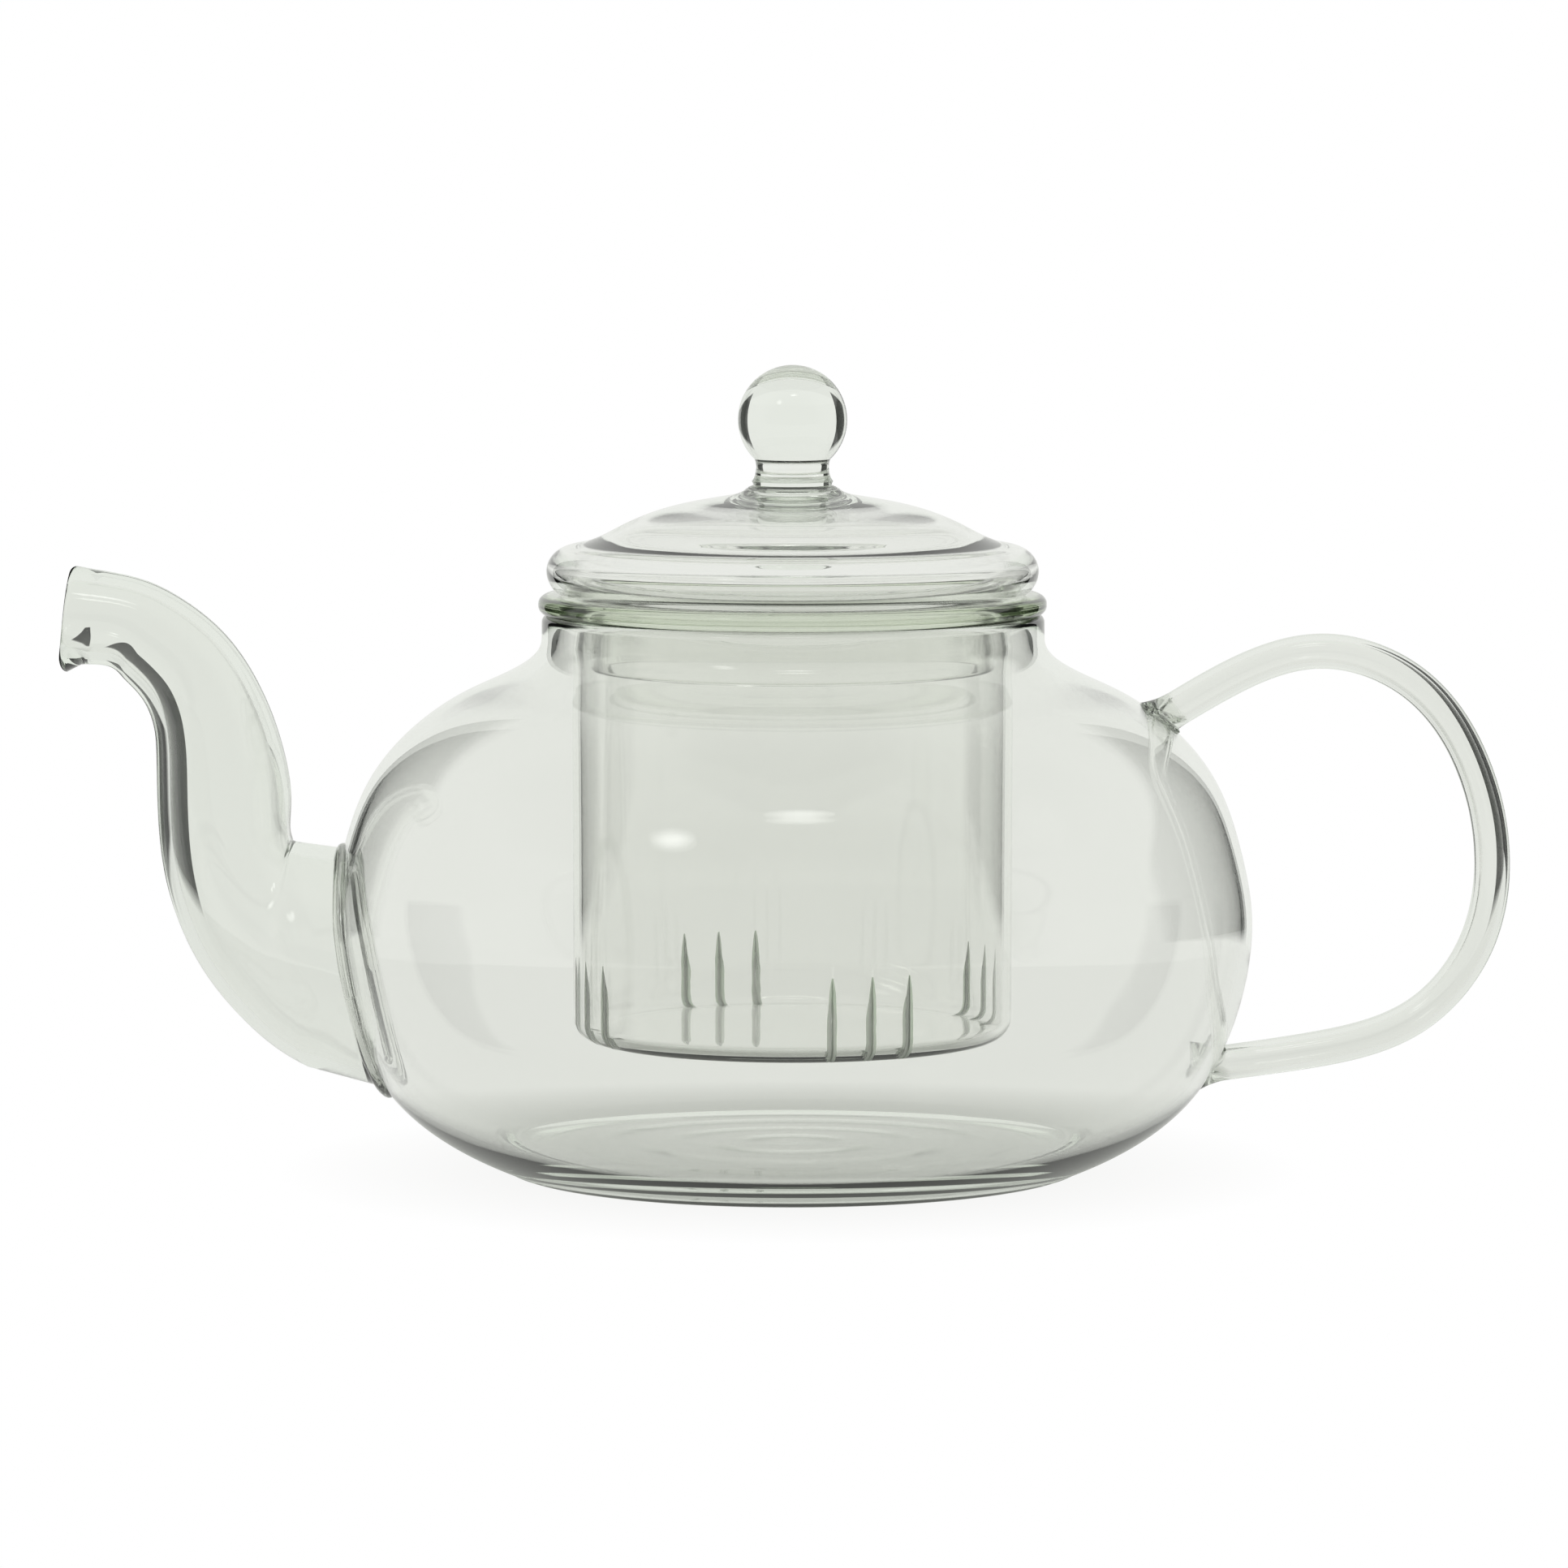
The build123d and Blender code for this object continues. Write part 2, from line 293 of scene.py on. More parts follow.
def glassMaterial(name, ringScale=90.0, ringAmount=0.5, swellScale=14.0, bump=0.08, film=0.02,
                  base=0.0, clear=glassLook["clearTint"], deep=glassLook["deepTint"],
                  absorb=glassLook["absorbColour"], density=glassLook["absorbDensity"]):
    material = bpy.data.materials.new(name)
    material.use_nodes = True
    tree = material.node_tree
    shader = tree.nodes["Principled BSDF"]
    shader.inputs["Transmission Weight"].default_value = 1.0
    shader.inputs["IOR"].default_value = glassLook["ior"]
    feed(tree, placeGroup(tree, glassTint, Clear=clear, Deep=deep), shader.inputs["Base Color"])
    feed(tree, placeGroup(tree, handledFilm, Base=base, Film=film), shader.inputs["Roughness"])
    waves = placeGroup(tree, blownWaves, Ring_Scale=ringScale, Ring_Amount=ringAmount,
                       Swell_Scale=swellScale)
    relief = tree.nodes.new("ShaderNodeBump")
    relief.inputs["Strength"].default_value = bump
    relief.inputs["Distance"].default_value = mm(1.0)
    feed(tree, waves, relief.inputs["Height"])
    feed(tree, relief.outputs["Normal"], shader.inputs["Normal"])
    depth = tree.nodes.new("ShaderNodeVolumeAbsorption")
    depth.inputs["Color"].default_value = absorb
    depth.inputs["Density"].default_value = density
    feed(tree, depth.outputs["Volume"], tree.nodes["Material Output"].inputs["Volume"])
    return material


potGlass = glassMaterial("pot_blown_glass", ringScale=60.0, bump=0.10, density=10.0)
spoutGlass = glassMaterial("spout_tube_glass", ringScale=40.0, ringAmount=0.3, density=24.0)
weldGlass = glassMaterial("weld_bead_glass", ringScale=60.0, swellScale=50.0, bump=0.04)
rodGlass = glassMaterial("handle_rod_glass", ringAmount=0.2, swellScale=30.0, bump=0.06, film=0.01,
                         density=26.0)
infuserGlass = glassMaterial("infuser_tube_glass", ringScale=80.0, bump=0.05)
groundGlass = glassMaterial("slot_ground_glass", bump=0.0, film=0.1,
                            base=glassLook["groundRoughness"],  # matt from the cutting wheel
                            clear=glassLook["groundClear"], deep=glassLook["groundDeep"])
groundShader = groundGlass.node_tree.nodes["Principled BSDF"]
groundShader.inputs["Transmission Weight"].default_value = glassLook["groundTransmission"]
flangeGlass = glassMaterial("flange_glass", ringScale=120.0, absorb=glassLook["flangeAbsorb"],
                            density=46.0, clear=glassLook["solidClear"],
                            deep=glassLook["solidDeep"])
lidGlass = glassMaterial("lid_blown_glass", ringScale=120.0, bump=0.16)
knobGlass = glassMaterial("knob_solid_glass", swellScale=60.0, bump=0.05,
                          clear=glassLook["solidClear"], deep=glassLook["solidDeep"])
print("materials built")


# the bulb; outlines are radius and height
pot = {
    "footRadius": 46.0,
    "footEdge": [(0.8, 0.08), (1.6, 0.34)],  # past the foot, up to where the belly starts
    "belly": [(48.2, 0.7), (58.7, 6.0), (66.0, 12.2), (70.8, 19.5), (74.6, 30.0), (76.0, 41.0)],
    "bellyStart": (0.93, 0.37),
    "shoulder": [(76.0, 41.0), (74.3, 52.4), (69.8, 64.6), (62.8, 73.0), (54.4, 78.8),
                 (46.2, 82.7), (41.4, 88.0)],
    "mouthHeight": 92.0,
    "wall": 1.8,
    "neckWall": 2.6,
    "footExtra": 0.7,  # the wall is this much heavier where it meets the foot
    "floor": 2.4,
    "floorCove": (4.0, 0.55),  # how far in and how high the floor meets the wall
    "floorRow": 4,  # inside rows below this one lie within the floor
    "ripple": 0.05,  # rings inside the foot
    "rippleTurn": 0.55,
    "rippleFrom": 40.0,
    "rippleStep": 1.5,
    "holeCentre": (-72.5, 32.8),  # behind the spout, in X and Z
    "holeTilt": -8.0,
    "holeRadius": 16.6,
    "holeReach": 14.0,  # how far behind its centre the hole still cuts
    "segments": 384,
    "rows": 90,
}

bellyLine, bellyAlong = smoothCurve(pot["belly"], pot["bellyStart"], (0, 1), pot["rows"])
shoulderLine, shoulderAlong = smoothCurve(pot["shoulder"], (0, 1), (0, 1), pot["rows"])
outsideLine = np.vstack([bellyLine, shoulderLine[1:]])
outsideAlong = np.vstack([bellyAlong, shoulderAlong[1:]])


def potRadius(z):
    return float(np.interp(z, outsideLine[:, 1], outsideLine[:, 0]))


def tiltedAxes(tilt):
    # the way a section of the spout faces, and the direction across it that points up
    t = math.radians(tilt)
    return np.array([-math.cos(t), 0, math.sin(t)]), np.array([math.sin(t), 0, math.cos(t)])


def wallInside():
    # one inside point for each point of the outside, from foot to neck
    inside = []
    for i, ((r, z), (dr, dz)) in enumerate(zip(outsideLine, outsideAlong)):
        neckShare = max(0.0, (i - pot["rows"]) / pot["rows"])
        footShare = max(0.0, 1 - i / (0.5 * pot["rows"]))
        wall = pot["wall"] + (pot["neckWall"] - pot["wall"]) * neckShare**2
        wall += pot["footExtra"] * footShare**2
        inside.append((r - dz * wall, z + dr * wall))
    return inside


def cutHole(verts, faces, firstInside):
    # drops the faces behind the spout, rounds the edge and joins outside to inside there
    heading, up = tiltedAxes(pot["holeTilt"])
    before = np.array(verts)
    points = before.copy()
    rel = before - np.array([pot["holeCentre"][0], 0, pot["holeCentre"][1]])
    sideways, upward = rel[:, 1], rel @ up
    inHole = np.hypot(sideways, upward) < pot["holeRadius"]
    inHole &= rel @ heading > -pot["holeReach"]
    kept = [f for f in faces if not all(inHole[i] for i in f)]
    uses = {}
    for f in kept:
        for a, b in zip(f, f[1:] + f[:1]):
            edge = (min(a, b), max(a, b))
            uses[edge] = uses.get(edge, 0) + 1
    border = [edge for edge, n in uses.items() if n == 1]
    borderIds = sorted({i for edge in border for i in edge})
    for i in borderIds:
        grow = pot["holeRadius"] / math.hypot(sideways[i], upward[i])
        points[i] += (grow - 1) * (np.array([0, sideways[i], 0]) + upward[i] * up)
        # back on to the surface it came from
        depth = math.hypot(before[i][0], before[i][1]) - potRadius(before[i][2])
        r = potRadius(points[i][2]) + depth
        points[i][0] = -math.sqrt(max(r * r - points[i][1] ** 2, 0))
    insideIds = [i for i in borderIds if i >= firstInside]
    partner = {}
    for i in borderIds:
        gaps = np.linalg.norm(points[insideIds] - points[i], axis=1)
        partner[i] = insideIds[int(np.argmin(gaps))]
    for a, b in border:
        if max(a, b) < firstInside:
            face = list(dict.fromkeys((a, b, partner[b], partner[a])))
            if len(face) > 2:
                kept.append(tuple(face))
    used = sorted({i for f in kept for i in f})
    index = {old: new for new, old in enumerate(used)}
    return [tuple(points[i]) for i in used], [tuple(index[i] for i in f) for f in kept]


def buildBulb():
    outside, inside = [tuple(p) for p in outsideLine], wallInside()[pot["floorRow"]:]
    half = pot["neckWall"] / 2
    foot, floor = pot["footRadius"], pot["floor"]
    underside = [(0, 0), (20, 0), (38, 0), (foot - 2, 0), (foot, 0)]
    underside += [(foot + r, z) for r, z in pot["footEdge"]]
    rim = arc((outside[-1][0] - half, pot["mouthHeight"] - half), half, 0, 180, 12)
    coveIn, coveUp = pot["floorCove"]
    floorLine = [(inside[0][0] - coveIn, floor + coveUp)]
    floorLine += [(r, floor + pot["ripple"] * math.cos(r * pot["rippleTurn"]))
                  for r in np.arange(pot["rippleFrom"], 1, -pot["rippleStep"])]
    profile = underside + outside + rim + inside[::-1] + floorLine + [(0, floor)]
    verts, faces = lathe(profile, pot["segments"], uneven=0.35, unevenSize=70.0, seed=3.1)
    ringsOutside = len(underside) - 1 + len(outside) + len(rim)
    return cutHole(verts, faces, 1 + ringsOutside * pot["segments"])


addPiece("bulb_glass", *buildBulb(), "pot", "pot_bulb", "pot_glass", [potGlass], sharp=50)
print("pot bulb built")


spout = {
    # centre in X and Z, degrees above -X that it runs in, outside radius
    "sections": [
        (-72.5, 32.8, -8, 20.2), (-80.0, 35.2, -3, 18.8), (-85.9, 38.9, 12, 16.0),
        (-89.7, 43.8, 29, 14.0), (-92.5, 50.8, 51, 12.4), (-93.7, 59.3, 73, 11.4),
        (-94.3, 67.0, 83, 10.7), (-96.1, 75.2, 70, 9.6), (-100.3, 83.2, 52, 8.7),
        (-106.0, 88.3, 33, 8.1), (-112.0, 91.0, 15, 7.7), (-118.6, 91.7, 6, 8.1),
    ],
    "turnWeight": 40.0,  # mm of spline that one radian of turn counts for
    "wall": 2.1,
    "rootRings": 8,  # laid out afresh between the bulb and the tube
    "rootSink": 0.5,
    "lip": 1.15,
    "lipSteps": 12,
    "lipTakes": 3,  # rings of the tube that the lip stands in for
    "lipHeavy": 0.3,  # share by which it is thicker at its lowest point
    "drip": 1.6,  # how far it hangs there
    "around": 128,
    "along": 120,
}
sideAxis = np.array([0, 1, 0])


def ringTurns(count):
    return [2 * math.pi * k / count for k in range(count)]


def spoutRings(shrink):
    # section circles carried along smooth centre, direction and radius
    weight = spout["turnWeight"]
    data = [(x, z, weight * math.radians(tilt), r) for x, z, tilt, r in spout["sections"]]
    start, end = np.subtract(data[1], data[0]), np.subtract(data[-1], data[-2])
    rings = []
    for x, z, turn, r in smoothCurve(data, start, end, spout["along"])[0]:
        across = tiltedAxes(math.degrees(turn / weight))[1]
        rings.append(np.array([
            np.array([x, 0, z]) + (r - shrink) * (math.cos(a) * across + math.sin(a) * sideAxis)
            for a in ringTurns(spout["around"])]))
    return rings


def toBulb(ring, sink):
    # slides a ring's points along the root until they are sink deep in the bulb's wall
    heading = tiltedAxes(pot["holeTilt"])[0]
    moved = []
    for p in ring:
        low, high = -25.0, 25.0
        for _ in range(40):
            mid = (low + high) / 2
            q = p + heading * mid
            if math.hypot(q[0], q[1]) < potRadius(q[2]) - sink:
                low = mid
            else:
                high = mid
        moved.append(p + heading * low)
    return np.array(moved)


def spoutSurface(shrink):
    rings, afresh = spoutRings(shrink), spout["rootRings"]
    root, tube = toBulb(rings[0], spout["rootSink"]), rings[afresh]
    joining = [root * (1 - t) + tube * t for t in np.linspace(0, 1, afresh)[:-1]]
    return (joining + rings[afresh:])[:-spout["lipTakes"]]


def spoutLip():
    # rolled edge, thicker and hanging a little at the bottom
    x, z, tilt, r = spout["sections"][-1]
    heading, across = tiltedAxes(tilt)
    mid = r - spout["wall"] / 2
    rings = []
    for a in np.radians(np.linspace(90, -90, spout["lipSteps"] + 1)):
        ring = []
        for b in ringTurns(spout["around"]):
            low = max(0.0, -math.cos(b)) ** 3
            fat = spout["lip"] * (1 + spout["lipHeavy"] * low)
            out = mid + fat * math.sin(a) + 0.5 * spout["drip"] * low * max(0.3, math.sin(a))
            ring.append(np.array([x, 0, z]) + heading * fat * math.cos(a)
                        + out * (math.cos(b) * across + math.sin(b) * sideAxis))
        rings.append(np.array(ring))
    return rings


spoutMesh = bridge(spoutSurface(0) + spoutLip() + spoutSurface(spout["wall"])[::-1])
addPiece("spout_glass", *spoutMesh, "pot", "spout", "pot_glass", [spoutGlass], sharp=60)
print("spout built")


# the bead of glass that welds the spout to the bulb
bead = {
    "centre": (-70.6, 32.8),  # in X and Z
    "tilt": -10.9,
    "spread": 20.0,
    "radius": 1.5,
    "flat": 0.8,
    "sink": 0.1,
    "lumps": 0.10,
    "around": 160,
    "section": 20,
}


def buildBead():
    heading, up = tiltedAxes(bead["tilt"])
    centre = np.array([bead["centre"][0], 0, bead["centre"][1]])
    rings = []
    for a in ringTurns(bead["around"]):
        radial = math.cos(a) * up + math.sin(a) * sideAxis
        p = toBulb([centre + bead["spread"] * radial], bead["sink"])[0]
        lump = noise.noise(Vector((3 * math.cos(a), 3 * math.sin(a), 0.5)))
        thick = bead["radius"] * (1 + bead["lumps"] * lump)
        rings.append(np.array([
            p + thick * (math.cos(b) * radial + bead["flat"] * math.sin(b) * heading)
            for b in ringTurns(bead["section"])]))
    return bridge(rings)


addPiece("spout_weld_glass", *buildBead(), "pot", "spout_weld", "pot_glass", [weldGlass])
print("spout weld built")


handle = {
    "line": [(59.4, 73.9), (70.6, 80.5), (86.8, 85.8), (102.9, 80.2), (112.6, 66.2),
             (115.6, 51.0), (112.9, 36.9), (102.9, 25.1), (86.8, 19.7), (66.8, 16.8)],
    "radius": 2.95,
    "bore": 1.92,  # the handle is thick tube, drawn shut towards its ends
    "boreEnd": 0.25,  # share of the bore left there
    "flare": 1.0,  # how much wider its ends are
    "flareLength": 5.0,
    "around": 40,
    "along": 260,
    # flattened drops of glass at its ends: place in X and Z, and the way they face
    "pads": {
        "handle_top_weld": ((60.6, 74.6), (0.57, 0.82)),
        "handle_bottom_weld": ((69.3, 17.8), (0.84, -0.55)),
    },
    "padRadius": 4.0,
    "padThick": 0.9,
}


def buildHandle():
    points = handle["line"]
    start, end = np.subtract(points[1], points[0]), np.subtract(points[-1], points[-2])
    line, along = smoothCurve(points, start, end, handle["along"])
    walked = np.concatenate([[0], np.cumsum(np.linalg.norm(np.diff(line, axis=0), axis=1))])
    turns = np.array(ringTurns(handle["around"]))
    outside, bore = [], []
    for (x, z), (dx, dz), s in zip(line, along, walked):
        share = min(1.0, min(s, walked[-1] - s) / handle["flareLength"])
        outer = handle["radius"] + handle["flare"] * (1 - share) ** 2
        outer += wobble(x, 0, z, size=25.0, amount=0.12, seed=5.0)
        inner = handle["bore"] * (handle["boreEnd"] + (1 - handle["boreEnd"]) * share)
        inner += wobble(x, 3, z, size=18.0, amount=0.15, seed=9.0)
        circle = np.column_stack([-dz * np.cos(turns), np.sin(turns), dx * np.cos(turns)])
        outside.append(np.array([x, 0, z]) + outer * circle)
        bore.append(np.array([x, 0, z]) + inner * circle)
    return bridge(outside + bore[::-1])


def buildPad(at, normal):
    n = unit((normal[0], 0, normal[1]))
    t = np.array([-n[2], 0, n[0]])
    ball, faces = lathe(arc((0, 0), 1.0, -90, 90, 16), 48)
    wide, thick = handle["padRadius"], handle["padThick"]
    place = np.array([at[0], 0, at[1]])
    return [tuple(place + wide * (x * t + y * sideAxis) + thick * z * n) for x, y, z in ball], faces


addPiece("handle_glass", *buildHandle(), "pot", "handle", "rod_glass", [rodGlass], sharp=60)
for padName, (padPlace, padNormal) in handle["pads"].items():
    padMesh = buildPad(padPlace, padNormal)
    addPiece(padName + "_glass", *padMesh, "pot", padName, "rod_glass", [weldGlass])
print("handle built")


infuser = {
    "radius": 36.2,
    "wall": 1.5,
    "bottom": 21.7,
    "floor": 1.5,
    "corner": 3.4,
    "floorShares": (0.12, 0.3, 0.5, 0.7, 0.85),  # rings of the floor's mesh inside the slots
    "columnDeg": 1.2,
    "slotWidth": 0.3,
    "groundWidth": 1.35,  # matt band that the wheel left, slot included
    "slotHeight": 14.0,
    "slotReach": 4.2,  # how far the slots run in under the floor
    "slotSlant": 3.6,  # they end this much lower on the inside
    "slotPitch": 10.6,
    "slotTurn": -69.2,
    "slotClosing": 0.8,  # share of its width that a slot loses at the top
    "pointRows": 4,
    "ragged": 0.12,  # mm that the wheel wandered
    "flangeRadius": 41.9,
    "flangeBottom": 92.05,
    "flangeThick": 3.1,
    "flangeEdge": 1.4,
    "flangeBoreEdge": 1.0,
    "flangeOverlap": 0.4,  # how far the tube runs up into it
}


def infuserColumns():
    # angles of the mesh's columns; each slot has four, either side of its ground edges
    stripDeg = math.degrees(infuser["groundWidth"] / 2 / infuser["radius"])
    marks = sorted(
        (infuser["slotTurn"] + 90 * group + slotIndex * infuser["slotPitch"]) % 360
        for group in range(4) for slotIndex in (-1, 0, 1)
    )
    offsets = [s / 2 * infuser[width] for s, width in (
        (-1, "groundWidth"), (-1, "slotWidth"), (1, "slotWidth"), (1, "groundWidth"))]
    columns, slotEdges = [], {}
    for i, middle in enumerate(marks):
        following = marks[(i + 1) % len(marks)] + (360 if i == len(marks) - 1 else 0)
        for offset in offsets:
            slotEdges[len(columns)] = (math.radians(middle), offset)
            columns.append(middle + math.degrees(offset / infuser["radius"]))
        gapDeg = following - middle - 2 * stripDeg
        parts = max(2, round(gapDeg / infuser["columnDeg"]))
        columns += [middle + stripDeg + gapDeg * k / parts for k in range(1, parts)]
    return columns, slotEdges


def infuserRows():
    # each row pairs an outside point with an inside point, from the floor's middle out and up
    cup = infuser
    outR, inR = cup["radius"], cup["radius"] - cup["wall"]
    low, floorTop = cup["bottom"], cup["bottom"] + cup["floor"]
    slotStart = outR - cup["slotReach"]
    rows = [((slotStart * share, low), (slotStart * share, floorTop))
            for share in cup["floorShares"]]
    firstSlotRow = len(rows)
    rows.append(((slotStart, low), (slotStart + 0.5, floorTop)))
    corner, innerCorner = cup["corner"], cup["corner"] - cup["wall"]
    outArc = arc((outR - corner, low + corner), corner, -90, 0, 8)
    inArc = arc((inR - innerCorner, floorTop + innerCorner), innerCorner, -90, 0, 8)
    rows += zip(outArc, inArc)
    lastSlotRow = len(rows) + 8
    top, end = low + cup["slotHeight"], cup["flangeBottom"] + cup["flangeOverlap"]
    outMarks, inMarks = (outArc[-1][1], top, end), (inArc[-1][1], top - cup["slotSlant"], end)
    for part, steps in ((0, 9), (1, 12)):  # beside the slots, then above them
        for share in (k / steps for k in range(1, steps + 1)):
            rows.append(tuple((r, z[part] + (z[part + 1] - z[part]) * share)
                              for r, z in ((outR, outMarks), (inR, inMarks))))
    return rows, firstSlotRow, lastSlotRow


def buildInfuserCup():
    columns, slotEdges = infuserColumns()
    rows, firstSlotRow, lastSlotRow = infuserRows()
    pointRow = lastSlotRow - infuser["pointRows"]
    verts = [(0, 0, z) for _, z in rows[0]]
    for rowIndex, pair in enumerate(rows):
        for column, degrees in enumerate(columns):
            for r, z in pair:
                turn = math.radians(degrees)
                if column in slotEdges and firstSlotRow <= rowIndex <= lastSlotRow:
                    # sides run parallel, a little ragged, and close almost to a point at the top
                    middle, offset = slotEdges[column]
                    upShare = max(0.0, (rowIndex - pointRow) / infuser["pointRows"])
                    closing = 1 - infuser["slotClosing"] * upShare**1.5
                    ragged = wobble(z, r, degrees, size=1.3, amount=infuser["ragged"], seed=2.0)
                    turn = middle + math.asin((offset + ragged) * closing / r)
                verts.append((r * math.cos(turn), r * math.sin(turn), z))
    faces, kinds = [], []  # kind 1 is ground glass

    def vertexAt(row, column, side):
        return 2 + (row * len(columns) + column % len(columns)) * 2 + side

    def addFace(kind, *corners):
        faces.append(tuple(vertexAt(*corner) for corner in corners))
        kinds.append(kind)

    def acrossWall(kind, row, column):
        addFace(kind, (row, column, 0), (row, column + 1, 0),
                (row, column + 1, 1), (row, column, 1))

    for column in range(len(columns)):
        faces += [(0, vertexAt(0, column + 1, 0), vertexAt(0, column, 0)),
                  (1, vertexAt(0, column, 1), vertexAt(0, column + 1, 1))]
        kinds += [0, 0]
        isSlot = column in slotEdges and slotEdges[column][1] == -infuser["slotWidth"] / 2
        for row in range(len(rows) - 1):
            besideSlot = firstSlotRow <= row < lastSlotRow
            if isSlot and besideSlot:
                for c in (column, column + 1):
                    addFace(1, (row, c, 0), (row + 1, c, 0), (row + 1, c, 1), (row, c, 1))
                continue
            ground = int(besideSlot and column in slotEdges and column + 1 in slotEdges)
            for side in (0, 1):
                addFace(ground, (row, column, side), (row, column + 1, side),
                        (row + 1, column + 1, side), (row + 1, column, side))
        if isSlot:
            acrossWall(1, firstSlotRow, column)
            acrossWall(1, lastSlotRow, column)
        acrossWall(0, len(rows) - 1, column)
    return verts, faces, kinds


def buildFlange():
    low, high = infuser["flangeBottom"], infuser["flangeBottom"] + infuser["flangeThick"]
    bore, edge = infuser["radius"] - infuser["wall"], infuser["flangeEdge"]
    middle, boreEdge = infuser["flangeRadius"] - edge, infuser["flangeBoreEdge"]
    profile = [(bore - 0.02, low + 0.1), (infuser["radius"] + 1.5, low)]
    profile += arc((middle, low + edge), edge, -90, 0, 10)
    profile += arc((middle, high - edge), edge, 0, 90, 10)
    profile += arc((bore + boreEdge, high - boreEdge), boreEdge, 90, 180, 6)
    return lathe(profile, 256, uneven=0.15, unevenSize=30.0, seed=8.0)


cupVerts, cupFaces, cupKinds = buildInfuserCup()
addPiece("infuser_cup_glass", cupVerts, cupFaces, "infuser", "infuser_cup", "infuser_glass",
         [infuserGlass, groundGlass], cupKinds, sharp=40)
addPiece("infuser_flange_glass", *buildFlange(), "infuser", "infuser_flange", "flange_glass",
         [flangeGlass], sharp=60)
print("infuser built")


# the lid and its knob; outlines are radius and height
lid = {
    "seat": 95.2,
    "wall": 1.5,
    "top": [(0, 112.8), (4.0, 112.8)],
    "dome": [(7.6, 112.7), (11.0, 111.4), (20.8, 109.4), (27.6, 106.8), (32.4, 104.4),
             (37.0, 103.1)],
    "domeStart": (0.7, -0.7),
    "domeEnd": (0.99, -0.12),
    "brimRadius": 40.6,
    "brimHeight": 99.4,
    "brimFoot": 37.6,
    "hollow": [(36.2, 101.6), (32.0, 102.8)],  # inside of the rolled brim, up to the dome
    "hollowEnd": (-0.97, 0.24),
    "inside": [(32.0, 102.8), (26.9, 105.3), (20.1, 107.8), (11.0, 109.4), (0, 109.7)],
    "skirtRadius": 33.4,
    "skirtBottom": 81.2,
    "skirtRows": (92.0, 88.0, 84.0),
}

knob = {
    "radius": 9.0,
    "height": 124.0,
    "cut": 117.3,  # flat where the ball sits on its stem
    "stemFoot": [(0, 112.3), (7.6, 112.3), (7.3, 112.9), (6.45, 113.3)],
    "stem": [(6.7, 113.9), (6.1, 115.3), (6.3, 117.6)],
    "stemTop": 117.9,
}


def buildLidDome():
    seat, wall = lid["seat"], lid["wall"]
    widest, inner = (lid["brimRadius"], lid["brimHeight"]), lid["skirtRadius"] - 0.3
    brim = [lid["dome"][-1], widest, (lid["brimFoot"], seat)]
    hollow = [(lid["brimFoot"] - 0.8, seat + wall), (widest[0] - wall, widest[1])] + lid["hollow"]
    section = lid["top"] + curvePoints(lid["dome"], lid["domeStart"], lid["domeEnd"], 60)
    section += curvePoints(brim, lid["domeEnd"], (-1, 0), 30)[1:]
    section += [(inner, seat), (inner, seat + wall)]
    section += curvePoints(hollow, (1, 0), lid["hollowEnd"], 30)
    section += curvePoints(lid["inside"], lid["hollowEnd"], (-1, 0), 50)[1:-1]
    section.append(lid["inside"][-1])
    return lathe(section, 288, uneven=0.25, unevenSize=35.0, seed=6.0)


def buildLidSkirt():
    outer, half, top = lid["skirtRadius"], lid["wall"] / 2, lid["seat"] + lid["wall"] + 0.1
    down = [top, *lid["skirtRows"]]
    profile = [(outer, z) for z in down]
    profile += arc((outer - half, lid["skirtBottom"] + half), half, 0, -180, 10)
    profile += [(outer - lid["wall"], z) for z in down[::-1]]
    return lathe(profile, 256, uneven=0.2, unevenSize=40.0, seed=1.0)


def buildStem():
    waist = curvePoints(knob["stem"], (-0.7, 0.7), (0.5, 0.86), 14)
    return lathe(knob["stemFoot"] + waist + [(0, knob["stemTop"])], 96)


def buildKnob():
    cutDeg = -math.degrees(math.asin((knob["height"] - knob["cut"]) / knob["radius"]))
    ball = arc((0, knob["height"]), knob["radius"], cutDeg, 90, 60)
    return lathe([(0, knob["cut"])] + ball, 128, uneven=0.12, unevenSize=9.0, seed=4.0)


addPiece("lid_dome_glass", *buildLidDome(), "lid", "lid_dome", "lid_glass", [lidGlass], sharp=50)
addPiece("lid_skirt_glass", *buildLidSkirt(), "lid", "lid_skirt", "lid_glass", [lidGlass], sharp=60)
addPiece("knob_stem_glass", *buildStem(), "lid", "knob_stem", "knob_glass", [knobGlass], sharp=50)
addPiece("lid_knob_glass", *buildKnob(), "lid", "lid_knob", "knob_glass", [knobGlass], sharp=50)
print("lid built")


